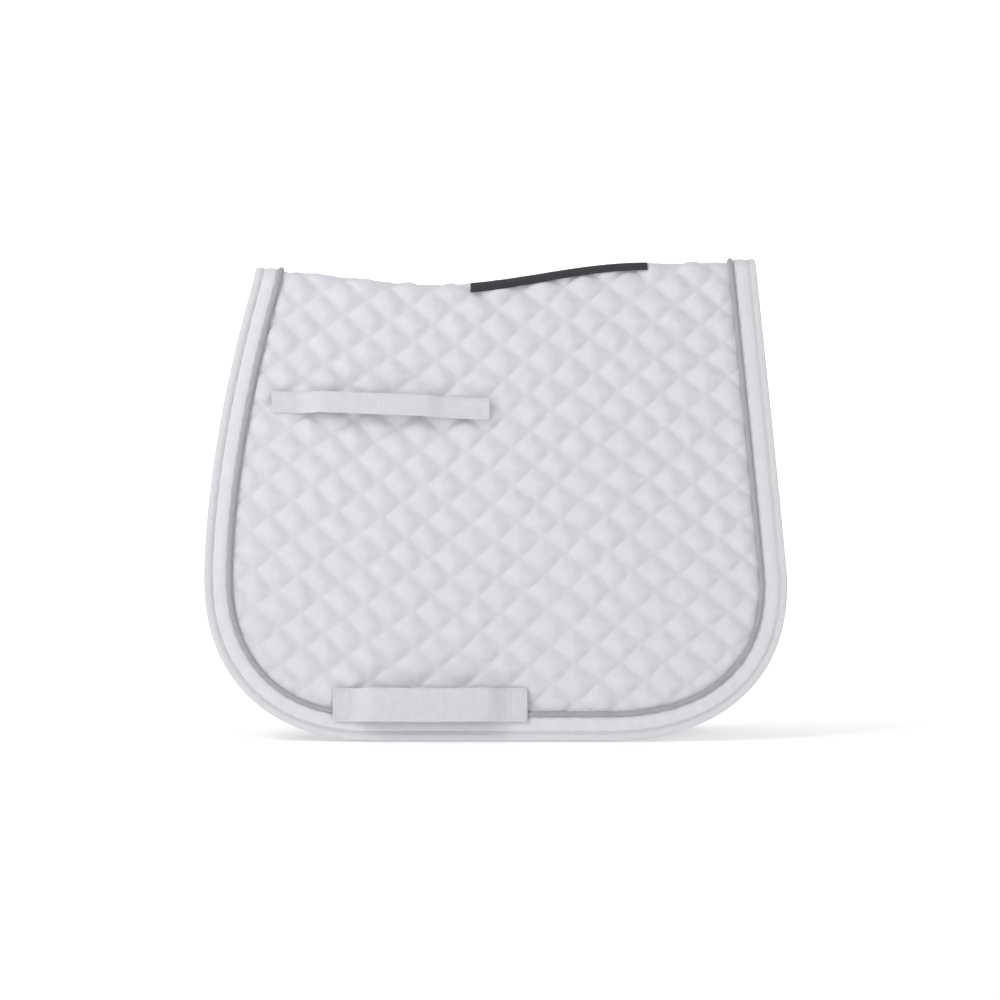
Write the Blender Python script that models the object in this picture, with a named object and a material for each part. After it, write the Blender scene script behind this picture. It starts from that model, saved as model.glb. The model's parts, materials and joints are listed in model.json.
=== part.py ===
"""Quilted saddle pad, standing open like a tent with one flap on each side.

Frame: X runs from the withers end (-X) to the rear end (+X), Y across the pad and Z up.
The near flap is on the -Y side. The pad rests on the inner edges of its binding, at Z = 0.

A flap is a flat sandwich. A point of it is given by x, by its distance down the flap from the
apex line, and by its distance out from the middle of the sandwich. The two flaps meet in an
arch whose radius grows where the ridge dips. Each flap folds on its own hinge in the arch's
shoulder.
"""

import math

import bmesh
import bpy
from mathutils import Vector

# Stance: how far each flap leans from the vertical. The apex line lies in the middle plane, as far
# from both flaps, and APEX_TO_MIDDLE is how far it lies from the middle of their sandwich.
LEAN = math.radians(10.0)
APEX_HEIGHT = 0.5473
APEX_TO_MIDDLE = 0.009

# The flaps' hinge axes run along X, in the shoulders of the arch.
FOLD_ACROSS = 0.010
FOLD_HEIGHT = 0.528

# Sandwich: lining, batting and quilted cover, with the clearance kept between them.
HALF_THICKNESS = 0.006
CLOTH = 0.0012
GAP = 0.0003

# Side outline: overall width, ridge ends and dip, and the rounded lower corners.
HALF_WIDTH = 0.330
RIDGE_FRONT_X = -0.275
RIDGE_REAR_X = 0.300
RIDGE_FRONT_HEIGHT = 0.5415
RIDGE_REAR_HEIGHT = 0.551
DIP_DEPTH = 0.0205
DIP_X = -0.062
DIP_FRONT_REACH = 0.230
DIP_REAR_REACH = 0.230
FRONT_CORNER = (0.200, 0.190)
REAR_CORNER = (0.210, 0.180)
CORNER_POWER = 2.3
FRONT_EDGE_POWER = 1.75
REAR_EDGE_POWER = 1.05

# Border, measured in from the outer edge.
BINDING_WIDTH = 0.010
BINDING_OUT = 0.0046
EDGE_WALL = 0.0012
BAND_EDGE = 0.0262
BAND_OUT = 0.0031
PIPING_MIDDLE = 0.0292
PIPING_RADIUS = 0.0028
PIPING_OUT = 0.0035
QUILT_EDGE = 0.0323

# Billet keeper: a webbing strap sewn on behind the front piping, closed by hook and loop.
WEB_THICKNESS = 0.0015
BILLET_WIDTH = 0.025
BILLET_HEIGHT = 0.376
BILLET_START_X = -0.256
BILLET_HINGE_X = -0.226
BILLET_END_X = -0.006
BILLET_HINGE_OUT = 0.0082
BILLET_RAISED = 0.0170
BILLET_RAMP = 0.030
PATCH_LENGTH = 0.048
PATCH_THICKNESS = 0.0012

# Girth keeper: a webbing loop sewn down at both ends across the lower piping.
GIRTH_WIDTH = 0.038
GIRTH_HEIGHT = 0.0395
GIRTH_START_X = -0.182
GIRTH_END_X = 0.036
GIRTH_TAB = 0.020
GIRTH_RAMP = 0.028
GIRTH_BASE = 0.0066
GIRTH_RAISED = 0.0185

# Label on the near side of the ridge.
LABEL_X = (-0.029, 0.175)
LABEL_ANGLES = (math.radians(-75.0), math.radians(-42.0))
LABEL_THICKNESS = 0.0008

EDGE_STEPS = 7
CORNER_STEPS = 10
RIDGE_PITCH = 0.020
STATION_MARGIN = 0.003
ARCH_STEPS = 8
PIPING_STEPS = 6
STRAP_STEPS = 8

NEAR, FAR = -1, 1
SIDE_NAMES = {NEAR: "near", FAR: "far"}
ARCH_END = math.pi / 2 - LEAN

# Finish of each material: colour and roughness.
FINISHES = {
    "white_cotton": ((0.86, 0.86, 0.89, 1.0), 0.85),
    "white_batting": ((0.92, 0.92, 0.92, 1.0), 0.95),
    "white_binding": ((0.93, 0.93, 0.95, 1.0), 0.70),
    "grey_piping": ((0.42, 0.42, 0.45, 1.0), 0.60),
    "white_webbing": ((0.88, 0.88, 0.90, 1.0), 0.75),
    "pale_hook_and_loop": ((0.75, 0.75, 0.78, 1.0), 0.95),
    "charcoal_label": ((0.08, 0.08, 0.10, 1.0), 0.60),
}


def clear_scene():
    for thing in list(bpy.data.objects):
        bpy.data.objects.remove(thing, do_unlink=True)


def blend_between(a, b, share):
    return a + (b - a) * share


def ease(share):
    """A smooth step from 0 to 1."""
    share = min(max(share, 0.0), 1.0)
    return 0.5 - 0.5 * math.cos(math.pi * share)


# ---- Where things are ----


def ridge_height(x):
    """Height of the top of the ridge, which dips towards the withers end."""
    share = (x - RIDGE_FRONT_X) / (RIDGE_REAR_X - RIDGE_FRONT_X)
    straight = blend_between(RIDGE_FRONT_HEIGHT, RIDGE_REAR_HEIGHT, share)
    reach = DIP_FRONT_REACH if x < DIP_X else DIP_REAR_REACH
    return straight - DIP_DEPTH * ease(1.0 - abs(x - DIP_X) / reach)


def arch_radius(x):
    """Radius of the middle of the sandwich over the ridge, where it touches both flaps."""
    depth = APEX_HEIGHT + HALF_THICKNESS - ridge_height(x)
    return (APEX_TO_MIDDLE + depth * math.sin(LEAN)) / (1.0 - math.sin(LEAN))


def fold_edge(x):
    """How far down the flap its flat part begins."""
    return (arch_radius(x) - APEX_TO_MIDDLE) / math.tan(LEAN)


def flap_point(side, x, down, out):
    across = (APEX_TO_MIDDLE + out) * math.cos(LEAN) + down * math.sin(LEAN)
    height = APEX_HEIGHT + (APEX_TO_MIDDLE + out) * math.sin(LEAN) - down * math.cos(LEAN)
    return Vector((x, side * across, height))


def arch_point(x, angle, out):
    radius = arch_radius(x)
    middle = ridge_height(x) - radius - HALF_THICKNESS
    reach = radius + out
    return Vector((x, reach * math.sin(angle), middle + reach * math.cos(angle)))


def down_at(height):
    """How far down the flap a point of its inner face lies at this height."""
    inner = APEX_HEIGHT + (APEX_TO_MIDDLE - HALF_THICKNESS) * math.sin(LEAN)
    return (inner - height) / math.cos(LEAN)


def height_at(down):
    inner = APEX_HEIGHT + (APEX_TO_MIDDLE - HALF_THICKNESS) * math.sin(LEAN)
    return inner - down * math.cos(LEAN)


# ---- Outline of a flap ----


def edge_x(height, end):
    """The x of the front (end -1) or rear (end 1) edge above its corner."""
    corner, ridge_x, ridge_z, power = (
        (FRONT_CORNER, RIDGE_FRONT_X, RIDGE_FRONT_HEIGHT, FRONT_EDGE_POWER)
        if end < 0
        else (REAR_CORNER, RIDGE_REAR_X, RIDGE_REAR_HEIGHT, REAR_EDGE_POWER)
    )
    share = max(0.0, (height - corner[1]) / (ridge_z - corner[1]))
    return end * HALF_WIDTH + (ridge_x - end * HALF_WIDTH) * share**power


def top_corner(end):
    """The x and height where the front or rear edge of the flap meets the arch."""
    height = ridge_height(end * HALF_WIDTH)
    for _ in range(12):
        x = edge_x(height, end)
        height = height_at(fold_edge(x) + GAP)
    return x, height


def half_outline(end):
    """Points (x, down) of one edge, from the top corner to the bottom's straight run."""
    corner_wide, corner_high = FRONT_CORNER if end < 0 else REAR_CORNER
    top = top_corner(end)[1]
    points = []
    for i in range(EDGE_STEPS):
        height = blend_between(top, corner_high, i / EDGE_STEPS)
        points.append((edge_x(height, end), down_at(height)))
    for i in range(CORNER_STEPS + 1):
        turn = math.pi / 2 * i / CORNER_STEPS
        x = end * (HALF_WIDTH - corner_wide + corner_wide * math.cos(turn) ** (2 / CORNER_POWER))
        height = corner_high * (1.0 - math.sin(turn) ** (2 / CORNER_POWER))
        points.append((x, down_at(height)))
    return points


OUTLINE = half_outline(-1) + half_outline(1)[::-1]


def inward(before, after):
    """Unit direction into the flap from a step of the outline."""
    step = Vector((after[0] - before[0], after[1] - before[1])).normalized()
    return Vector((step.y, -step.x))


def fold_line_x(end, inset):
    """The x at the arch of a line that runs this far in from the outer edge."""
    first, second = (OUTLINE[0], OUTLINE[1]) if end < 0 else (OUTLINE[-2], OUTLINE[-1])
    return OUTLINE[0 if end < 0 else -1][0] + inset / inward(first, second).x


def inset_outline(inset):
    """The outline moved into the flap, with both its ends on the arch."""
    points = []
    for i, (x, down) in enumerate(OUTLINE):
        if i in (0, len(OUTLINE) - 1):
            x = fold_line_x(-1 if i == 0 else 1, inset)
            points.append((x, fold_edge(x) + GAP))
            continue
        first = inward(OUTLINE[i - 1], (x, down))
        second = inward((x, down), OUTLINE[i + 1])
        mitre = (first + second) / (1.0 + first.dot(second))
        points.append((x + inset * mitre.x, down + inset * mitre.y))
    return points


def ridge_stations(x_from, x_to):
    """Places along the ridge, the same ones in every layer so that their facets stay apart."""
    low, high = sorted((x_from, x_to))
    first = math.ceil((low + STATION_MARGIN) / RIDGE_PITCH)
    last = math.floor((high - STATION_MARGIN) / RIDGE_PITCH)
    xs = [low] + [i * RIDGE_PITCH for i in range(first, last + 1)] + [high]
    return xs if x_from < x_to else xs[::-1]


# ---- Building objects ----


def material(name):
    made = bpy.data.materials.get(name)
    if made:
        return made
    colour, roughness = FINISHES[name]
    made = bpy.data.materials.new(name)
    made.use_nodes = True
    shader = made.node_tree.nodes["Principled BSDF"]
    shader.inputs["Base Color"].default_value = colour
    shader.inputs["Roughness"].default_value = roughness
    shader.inputs["Metallic"].default_value = 0.0
    made.diffuse_color = colour
    return made


def hinge_empty(name, place, parent=None):
    empty = bpy.data.objects.new(name, None)
    bpy.context.scene.collection.objects.link(empty)
    if parent:
        empty.parent = parent
        place = place - parent.location
    empty.location = place
    return empty


def place_of(empty):
    """World place of a hinge empty, adding up its parents' locations."""
    place = Vector((0.0, 0.0, 0.0))
    while empty:
        place += empty.location
        empty = empty.parent
    return place


def add_object(name, loops, finish, hinge=None, ladder=False, smooth=False):
    """A closed body through a row of matching loops, with both its ends closed.

    With ladder, a loop is an upper line followed by its lower line backwards, and its end is
    closed rung by rung, which suits a long curved strip.
    """
    origin = place_of(hinge)
    mesh = bpy.data.meshes.new(name)
    bm = bmesh.new()
    rows = [[bm.verts.new(point - origin) for point in loop] for loop in loops]
    count = len(rows[0])
    for row, following in zip(rows, rows[1:]):
        for j in range(count):
            k = (j + 1) % count
            bm.faces.new((row[j], row[k], following[k], following[j]))
    for row in (rows[0], rows[-1]):
        if ladder:
            for j in range(count // 2 - 1):
                bm.faces.new((row[j], row[j + 1], row[-2 - j], row[-1 - j]))
        else:
            bm.faces.new(row)
    bmesh.ops.recalc_face_normals(bm, faces=bm.faces)
    bm.to_mesh(mesh)
    bm.free()
    if smooth:
        mesh.shade_smooth()
        mesh.set_sharp_from_angle(angle=math.radians(40.0))
    mesh.materials.append(material(finish))
    made = bpy.data.objects.new(name, mesh)
    made.parent = hinge
    bpy.context.scene.collection.objects.link(made)
    return made


# ---- Flap pieces ----


def panel(name, side, inset, out_from, out_to, finish, hinge):
    """A flat layer inside the inset outline, cut along the arch at its top."""
    outline = inset_outline(inset)
    top = ridge_stations(outline[-1][0], outline[0][0])[1:-1]
    outline += [(x, fold_edge(x) + GAP) for x in top]
    loops = [[flap_point(side, x, down, out) for x, down in outline] for out in (out_from, out_to)]
    return add_object(name, loops, finish, hinge)


def border(name, side, section, finish, hinge, smooth=False):
    """A closed section of (inset, out) points, carried round the flap's edge."""
    lines = [inset_outline(inset) for inset, _ in section]
    loops = [
        [flap_point(side, *line[i], out) for line, (_, out) in zip(lines, section)]
        for i in range(len(OUTLINE))
    ]
    return add_object(name, loops, finish, hinge, smooth=smooth)


def binding_section():
    """A U that wraps the edge of the band and the lining."""
    wall_out = BINDING_OUT - CLOTH
    wall_in = CLOTH - HALF_THICKNESS
    return [
        (0.0, -HALF_THICKNESS),
        (0.0, BINDING_OUT),
        (BINDING_WIDTH, BINDING_OUT),
        (BINDING_WIDTH, wall_out),
        (EDGE_WALL, wall_out),
        (EDGE_WALL, wall_in),
        (BINDING_WIDTH, wall_in),
        (BINDING_WIDTH, -HALF_THICKNESS),
    ]


def band_section():
    edge = EDGE_WALL + GAP
    inner = CLOTH + GAP - HALF_THICKNESS
    return [(edge, inner), (edge, BAND_OUT), (BAND_EDGE, BAND_OUT), (BAND_EDGE, inner)]


def piping_section():
    """A round cord on its seam allowance, which reaches down to the lining."""
    inner = CLOTH + GAP - HALF_THICKNESS
    section = [(PIPING_MIDDLE - PIPING_RADIUS, inner)]
    for i in range(PIPING_STEPS + 1):
        turn = math.pi * i / PIPING_STEPS
        inset = PIPING_MIDDLE - PIPING_RADIUS * math.cos(turn)
        section.append((inset, PIPING_OUT + PIPING_RADIUS * math.sin(turn)))
    section.append((PIPING_MIDDLE + PIPING_RADIUS, inner))
    return section


def lining_levels():
    return -HALF_THICKNESS, CLOTH - HALF_THICKNESS


def batting_levels():
    return CLOTH + GAP - HALF_THICKNESS, HALF_THICKNESS - CLOTH - GAP


def cover_levels():
    return HALF_THICKNESS - CLOTH, HALF_THICKNESS


def flap_layers(side, hinge):
    name = SIDE_NAMES[side]
    panel(f"{name}_lining", side, BINDING_WIDTH + GAP, *lining_levels(), "white_cotton", hinge)
    panel(f"{name}_batting", side, QUILT_EDGE, *batting_levels(), "white_batting", hinge)
    panel(f"{name}_quilted_cover", side, QUILT_EDGE, *cover_levels(), "white_cotton", hinge)
    border(f"{name}_border_band", side, band_section(), "white_binding", hinge)
    border(f"{name}_piping", side, piping_section(), "grey_piping", hinge, smooth=True)
    border(f"{name}_edge_binding", side, binding_section(), "white_binding", hinge)


# ---- Straps ----


def strap(name, side, lower_line, thickness, height, width, finish, hinge):
    """Webbing whose underside follows the (x, out) points, level across its width."""
    middle = down_at(height)
    line = [(x, out + thickness) for x, out in lower_line]
    line += list(reversed(lower_line))
    loops = [
        [flap_point(side, x, down, out) for x, out in line]
        for down in (middle - width / 2, middle + width / 2)
    ]
    return add_object(name, loops, finish, hinge, ladder=True)


def ramp(x_from, x_to, out_from, out_to):
    """Points of a smooth rise or fall of the strap."""
    points = []
    for i in range(STRAP_STEPS + 1):
        share = i / STRAP_STEPS
        x = blend_between(x_from, x_to, share)
        points.append((x, blend_between(out_from, out_to, ease(share))))
    return points


def billet_keeper(side, flap_hinge):
    name = SIDE_NAMES[side]
    base = HALF_THICKNESS + GAP
    size = (BILLET_HEIGHT, BILLET_WIDTH)
    sewn = [(BILLET_START_X, base), (BILLET_HINGE_X - GAP, base)]
    patch = [(BILLET_END_X - PATCH_LENGTH, base), (BILLET_END_X, base)]
    hook_out = base + PATCH_THICKNESS + GAP
    hook = [(x, hook_out) for x, _ in patch]
    strap_out = hook_out + PATCH_THICKNESS + GAP
    closed_x = BILLET_END_X - PATCH_LENGTH - GAP
    free = ramp(BILLET_HINGE_X, BILLET_HINGE_X + BILLET_RAMP, base, BILLET_RAISED)
    free += ramp(closed_x - BILLET_RAMP, closed_x, BILLET_RAISED, strap_out)
    free.append((BILLET_END_X, strap_out))

    web = (WEB_THICKNESS, *size, "white_webbing")
    tape = (PATCH_THICKNESS, *size, "pale_hook_and_loop")
    place = flap_point(side, BILLET_HINGE_X, down_at(BILLET_HEIGHT), BILLET_HINGE_OUT)
    hinge = hinge_empty(f"{name}_billet_keeper_hinge", place, flap_hinge)
    strap(f"{name}_billet_keeper_base", side, sewn, *web, flap_hinge)
    strap(f"{name}_billet_loop_patch", side, patch, *tape, flap_hinge)
    strap(f"{name}_billet_keeper", side, free, *web, hinge)
    strap(f"{name}_billet_hook_patch", side, hook, *tape, hinge)


def girth_keeper(side, hinge):
    rise_x = GIRTH_START_X + GIRTH_TAB
    fall_x = GIRTH_END_X - GIRTH_TAB
    line = [(GIRTH_START_X, GIRTH_BASE)]
    line += ramp(rise_x, rise_x + GIRTH_RAMP, GIRTH_BASE, GIRTH_RAISED)
    line += ramp(fall_x - GIRTH_RAMP, fall_x, GIRTH_RAISED, GIRTH_BASE)
    line.append((GIRTH_END_X, GIRTH_BASE))
    name = f"{SIDE_NAMES[side]}_girth_keeper"
    strap(name, side, line, WEB_THICKNESS, GIRTH_HEIGHT, GIRTH_WIDTH, "white_webbing", hinge)


# ---- The arch over the ridge ----


def arch_strip(name, x_from, x_to, levels, finish, angles=(-ARCH_END, ARCH_END)):
    """A layer of the arch between two x, closed rung by rung at both its ends."""
    xs = ridge_stations(x_from, x_to)
    loops = []
    for i in range(ARCH_STEPS + 1):
        angle = blend_between(*angles, i / ARCH_STEPS)
        upper = [arch_point(x, angle, levels[1]) for x in xs]
        lower = [arch_point(x, angle, levels[0]) for x in reversed(xs)]
        loops.append(upper + lower)
    return add_object(name, loops, finish, ladder=True)


def arch_border(name, end, section, finish, smooth=False):
    """The border's closed section, carried over the arch at one end of the ridge."""
    places = [(fold_line_x(end, inset), out) for inset, out in section]
    loops = []
    for i in range(ARCH_STEPS + 1):
        angle = blend_between(-ARCH_END, ARCH_END, i / ARCH_STEPS)
        loops.append([arch_point(x, angle, out) for x, out in places])
    return add_object(name, loops, finish, smooth=smooth)


def spine():
    """The part of the pad that bends over the ridge."""
    lined = [fold_line_x(end, BINDING_WIDTH + GAP) for end in (-1, 1)]
    quilted = [fold_line_x(end, QUILT_EDGE) for end in (-1, 1)]
    arch_strip("spine_lining", *lined, lining_levels(), "white_cotton")
    arch_strip("spine_batting", *quilted, batting_levels(), "white_batting")
    arch_strip("spine_quilted_cover", *quilted, cover_levels(), "white_cotton")
    for end, name in ((-1, "front"), (1, "rear")):
        arch_border(f"{name}_spine_band", end, band_section(), "white_binding")
        arch_border(f"{name}_spine_piping", end, piping_section(), "grey_piping", smooth=True)
        arch_border(f"{name}_spine_binding", end, binding_section(), "white_binding")
    face = HALF_THICKNESS + GAP
    levels = (face, face + LABEL_THICKNESS)
    arch_strip("spine_label", *LABEL_X, levels, "charcoal_label", LABEL_ANGLES)


def build():
    clear_scene()
    spine()
    for side in (NEAR, FAR):
        place = Vector((0.0, side * FOLD_ACROSS, FOLD_HEIGHT))
        hinge = hinge_empty(f"{SIDE_NAMES[side]}_flap_hinge", place)
        flap_layers(side, hinge)
        billet_keeper(side, hinge)
        girth_keeper(side, hinge)


build()
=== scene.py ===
"""Looks of the quilted saddle pad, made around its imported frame.

The pad is cut from flat cloth and bent over the ridge, so its pieces are made on a flat pattern.
A point of the pattern is (x, across): x runs along the pad from the withers end, and across is
the distance from the ridge, negative on the near flap. place() bends the pattern over the ridge
and down the flaps, at a distance out from the middle of the padding.
"""

import json
import math

import bpy
import numpy as np
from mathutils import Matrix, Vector
from mathutils.kdtree import KDTree


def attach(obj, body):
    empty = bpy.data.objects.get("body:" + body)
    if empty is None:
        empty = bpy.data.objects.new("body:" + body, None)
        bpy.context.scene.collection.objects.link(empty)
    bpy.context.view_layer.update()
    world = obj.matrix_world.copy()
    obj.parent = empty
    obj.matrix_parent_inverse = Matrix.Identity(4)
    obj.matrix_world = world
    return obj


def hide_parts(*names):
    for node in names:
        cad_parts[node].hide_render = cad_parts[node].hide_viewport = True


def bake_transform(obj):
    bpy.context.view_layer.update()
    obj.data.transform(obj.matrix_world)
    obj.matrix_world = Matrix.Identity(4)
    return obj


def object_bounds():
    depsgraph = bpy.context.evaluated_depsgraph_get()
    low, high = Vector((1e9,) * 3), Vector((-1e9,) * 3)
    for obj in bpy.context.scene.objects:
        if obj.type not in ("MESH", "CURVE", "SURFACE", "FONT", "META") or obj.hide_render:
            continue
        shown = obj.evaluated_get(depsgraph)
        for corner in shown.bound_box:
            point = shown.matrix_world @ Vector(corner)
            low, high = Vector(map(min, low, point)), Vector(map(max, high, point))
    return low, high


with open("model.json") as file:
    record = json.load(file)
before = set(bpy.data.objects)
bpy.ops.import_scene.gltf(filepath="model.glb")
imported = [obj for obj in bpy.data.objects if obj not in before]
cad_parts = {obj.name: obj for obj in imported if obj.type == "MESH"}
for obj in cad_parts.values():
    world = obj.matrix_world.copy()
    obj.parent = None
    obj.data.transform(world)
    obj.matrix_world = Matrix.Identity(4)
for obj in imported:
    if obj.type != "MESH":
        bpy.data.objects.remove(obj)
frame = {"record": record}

CAD_BOX = [list(corner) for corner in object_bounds()]

# ---- Dimensions that the frame was built to ----

NEAR, FAR = -1, 1
SIDE_NAMES = {NEAR: "near", FAR: "far"}
MOUNT_AXIS = {m["name"]: m["axis"] for m in frame["record"]["mounts"]}["near_lining_face"]
LEAN = math.atan2(-MOUNT_AXIS[2], MOUNT_AXIS[1])
SIN, COS, TAN = math.sin(LEAN), math.cos(LEAN), math.tan(LEAN)
ARCH_END = math.pi / 2 - LEAN
APEX_HEIGHT = 0.5473
APEX_TO_MIDDLE = 0.009
HALF_THICKNESS = 0.006
HALF_WIDTH = CAD_BOX[1][0]
RIDGE_FRONT_X = -0.275
RIDGE_REAR_X = 0.300
RIDGE_FRONT_HEIGHT = 0.5415
RIDGE_REAR_HEIGHT = 0.551
DIP_DEPTH = 0.0205
DIP_X = -0.062
DIP_FRONT_REACH = 0.230
DIP_REAR_REACH = 0.230
FRONT_CORNER = (0.200, 0.190)
REAR_CORNER = (0.210, 0.180)
CORNER_POWER = 2.3
FRONT_EDGE_POWER = 1.75
REAR_EDGE_POWER = 1.05

# ---- Dimensions of the visual model ----

OUTLINE_STEP = 0.004
BINDING_WIDTH = 0.010
BINDING_STITCH = 0.0083
PIPING_MIDDLE = 0.0292
PIPING_RADIUS = 0.0031
PIPING_OUT = 0.0035
COVER_EDGE = 0.0302
LINING_EDGE = 0.0085

# The quilting's two seam directions, each as long as one diamond's side, as (x, across).
SEAM_UP = np.array([0.0238, 0.0192])
SEAM_DOWN = np.array([0.0272, -0.0226])
COVER_STEPS = 10
LINING_STEPS = 7
BATTING_STEPS = 5
FILLING_SHORT = 0.014
COVER_GROWTH = 0.08
LINING_GROWTH = 0.03
SIM_SCALE = 20.0
SIM_FRAMES = 20
SIM_SEED = 7
COVER_SEAM_OUT = 0.0008
COVER_PUFF = 0.0070
UNDER_BILLET, UNDER_GIRTH, UNDER_LABEL = 0.0055, 0.0058, 0.0052
LINING_SEAM_OUT = -0.0030
LINING_PUFF = 0.0034
MOST_PUFF = 1.3
PIPING_SEAM = 0.0022

WEB_THICKNESS = 0.0015
TAPE_THICKNESS = 0.0014
STRAP_STEP = 0.002
THREAD_RADIUS = 0.00032


# ---- The pad's surface ----


def ease(share):
    return 0.5 - 0.5 * np.cos(np.pi * np.clip(share, 0.0, 1.0))


def ridge_height(x):
    share = (x - RIDGE_FRONT_X) / (RIDGE_REAR_X - RIDGE_FRONT_X)
    straight = RIDGE_FRONT_HEIGHT + (RIDGE_REAR_HEIGHT - RIDGE_FRONT_HEIGHT) * share
    reach = np.where(x < DIP_X, DIP_FRONT_REACH, DIP_REAR_REACH)
    return straight - DIP_DEPTH * ease(1.0 - np.abs(x - DIP_X) / reach)


def arch_radius(x):
    depth = APEX_HEIGHT + HALF_THICKNESS - ridge_height(x)
    return (APEX_TO_MIDDLE + depth * SIN) / (1.0 - SIN)


def fold_edge(x):
    """How far down the flap from the apex line its flat part begins."""
    return (arch_radius(x) - APEX_TO_MIDDLE) / TAN


def sway(x, across):
    """Gentle unevenness of the hanging flaps, none at the ridge."""
    down = np.abs(across)
    waves = np.sin(11.0 * x + 1.7 * np.sign(across) + 4.0 * down)
    waves = waves + 0.6 * np.sin(23.0 * x - 7.0 * down + 0.9)
    return 0.0012 * waves * ease((down - 0.06) / 0.30)


def place(x, across, out):
    """World places of pattern points."""
    x, across, out = np.broadcast_arrays(*(np.asarray(v, float) for v in (x, across, out)))
    out = out + sway(x, across)
    radius = arch_radius(x)
    turned = np.clip(across / radius, -ARCH_END, ARCH_END)
    past = np.maximum(np.abs(across) - radius * ARCH_END, 0.0)
    reach = radius + out
    middle = ridge_height(x) - radius - HALF_THICKNESS
    y = reach * np.sin(turned) + np.sign(across) * past * SIN
    z = middle + reach * np.cos(turned) - past * COS
    return np.stack([x, y, z], axis=-1)


def across_at(x, down, side=NEAR):
    """The pattern's across of a point this far down a flap from the apex line."""
    return side * (arch_radius(x) * ARCH_END + down - fold_edge(x))


def down_at(height):
    inner = APEX_HEIGHT + (APEX_TO_MIDDLE - HALF_THICKNESS) * SIN
    return (inner - height) / COS


def height_at(down):
    inner = APEX_HEIGHT + (APEX_TO_MIDDLE - HALF_THICKNESS) * SIN
    return inner - down * COS


# ---- The flat pattern's outline ----


def edge_x(height, end):
    """The x of the front (-1) or rear (1) edge at a height above the floor."""
    corner, ridge_x, ridge_z, power = (
        (FRONT_CORNER, RIDGE_FRONT_X, RIDGE_FRONT_HEIGHT, FRONT_EDGE_POWER)
        if end < 0
        else (REAR_CORNER, RIDGE_REAR_X, RIDGE_REAR_HEIGHT, REAR_EDGE_POWER)
    )
    share = np.maximum(0.0, (height - corner[1]) / (ridge_z - corner[1]))
    return end * HALF_WIDTH + (ridge_x - end * HALF_WIDTH) * share**power


def half_run(end):
    """Pattern points of one edge of the near half, from the ridge to the bottom's straight run."""
    height = ridge_height(end * HALF_WIDTH)
    for _ in range(12):
        height = height_at(fold_edge(edge_x(height, end)))
    corner_wide, corner_high = FRONT_CORNER if end < 0 else REAR_CORNER
    heights = np.linspace(height, corner_high, 60, endpoint=False)
    xs = edge_x(heights, end)
    edge = np.stack([xs, across_at(xs, down_at(heights))], axis=1)
    turn = np.linspace(0.0, np.pi / 2, 80)
    xs = end * (HALF_WIDTH - corner_wide + corner_wide * np.cos(turn) ** (2 / CORNER_POWER))
    heights = corner_high * (1.0 - np.sin(turn) ** (2 / CORNER_POWER))
    corner = np.stack([xs, across_at(xs, down_at(heights))], axis=1)
    slope = (edge[1, 0] - edge[0, 0]) / (edge[1, 1] - edge[0, 1])
    reach = -edge[0, 1]
    share = np.linspace(0.0, 1.0, 12, endpoint=False)
    bend = edge[0, 0] + slope * reach / 2 * (1.0 - share**2)
    over = np.stack([bend, -reach * share], axis=1)
    return np.concatenate([over, edge, corner])


def even_steps(line, step):
    """The line again, with its points evenly spaced."""
    lengths = np.linalg.norm(np.diff(line, axis=0), axis=1)
    along = np.concatenate([[0.0], np.cumsum(lengths)])
    at = np.linspace(0.0, along[-1], max(2, round(along[-1] / step) + 1))
    return np.stack([np.interp(at, along, line[:, k]) for k in range(line.shape[1])], axis=1)


def near_outline():
    """The near half's outline from ridge to ridge, and at each point the way in from it."""
    bottom_x = np.linspace(FRONT_CORNER[0] - HALF_WIDTH, HALF_WIDTH - REAR_CORNER[0], 60)[1:-1]
    bottom = np.stack([bottom_x, across_at(bottom_x, down_at(0.0))], axis=1)
    line = even_steps(np.concatenate([half_run(-1), bottom, half_run(1)[::-1]]), OUTLINE_STEP)
    for _ in range(6):
        line[1:-1] = 0.25 * line[:-2] + 0.5 * line[1:-1] + 0.25 * line[2:]
    tangent = np.gradient(line, axis=0)
    tangent[0], tangent[-1] = (0.0, -1.0), (0.0, 1.0)
    tangent /= np.linalg.norm(tangent, axis=1)[:, None]
    return line, np.stack([-tangent[:, 1], tangent[:, 0]], axis=1)


OUTLINE, INWARD = near_outline()


def inset_line(inset, side=NEAR):
    """The outline of one half moved in, from the front of the ridge to its rear."""
    line = OUTLINE + inset * INWARD
    line[0, 1] = line[-1, 1] = 0.0
    return line * np.array([1.0, -side])


# ---- Making objects ----


def orient(points, faces, outward=None):
    """The faces turned to point out of a closed body, or along outward on an open sheet."""
    corners = points[faces]
    normals = np.cross(corners[:, 2] - corners[:, 0], corners[:, 3] - corners[:, 1])
    if outward is None:
        facing = (corners.mean(axis=1) * normals).sum()
    else:
        facing = (normals * outward).sum()
    return faces if facing > 0 else faces[:, ::-1]


def add_mesh(name, points, faces, finish, pattern=None, ends=()):
    """A smooth object of four-sided faces, with any many-sided ends, and its pattern as UVs."""
    mesh = bpy.data.meshes.new(name)
    every = [list(map(int, f)) for f in faces] + [list(map(int, f)) for f in ends]
    mesh.from_pydata(points.tolist(), [], every)
    mesh.validate()
    if pattern is not None:
        loops = np.zeros(len(mesh.loops), np.int32)
        mesh.loops.foreach_get("vertex_index", loops)
        uv = mesh.uv_layers.new(name="pattern")
        uv.data.foreach_set("uv", (pattern[loops] * 10.0).astype(np.float32).ravel())
    mesh.shade_smooth()
    mesh.materials.append(finish)
    made = bpy.data.objects.new(name, mesh)
    bpy.context.scene.collection.objects.link(made)
    return made


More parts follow.
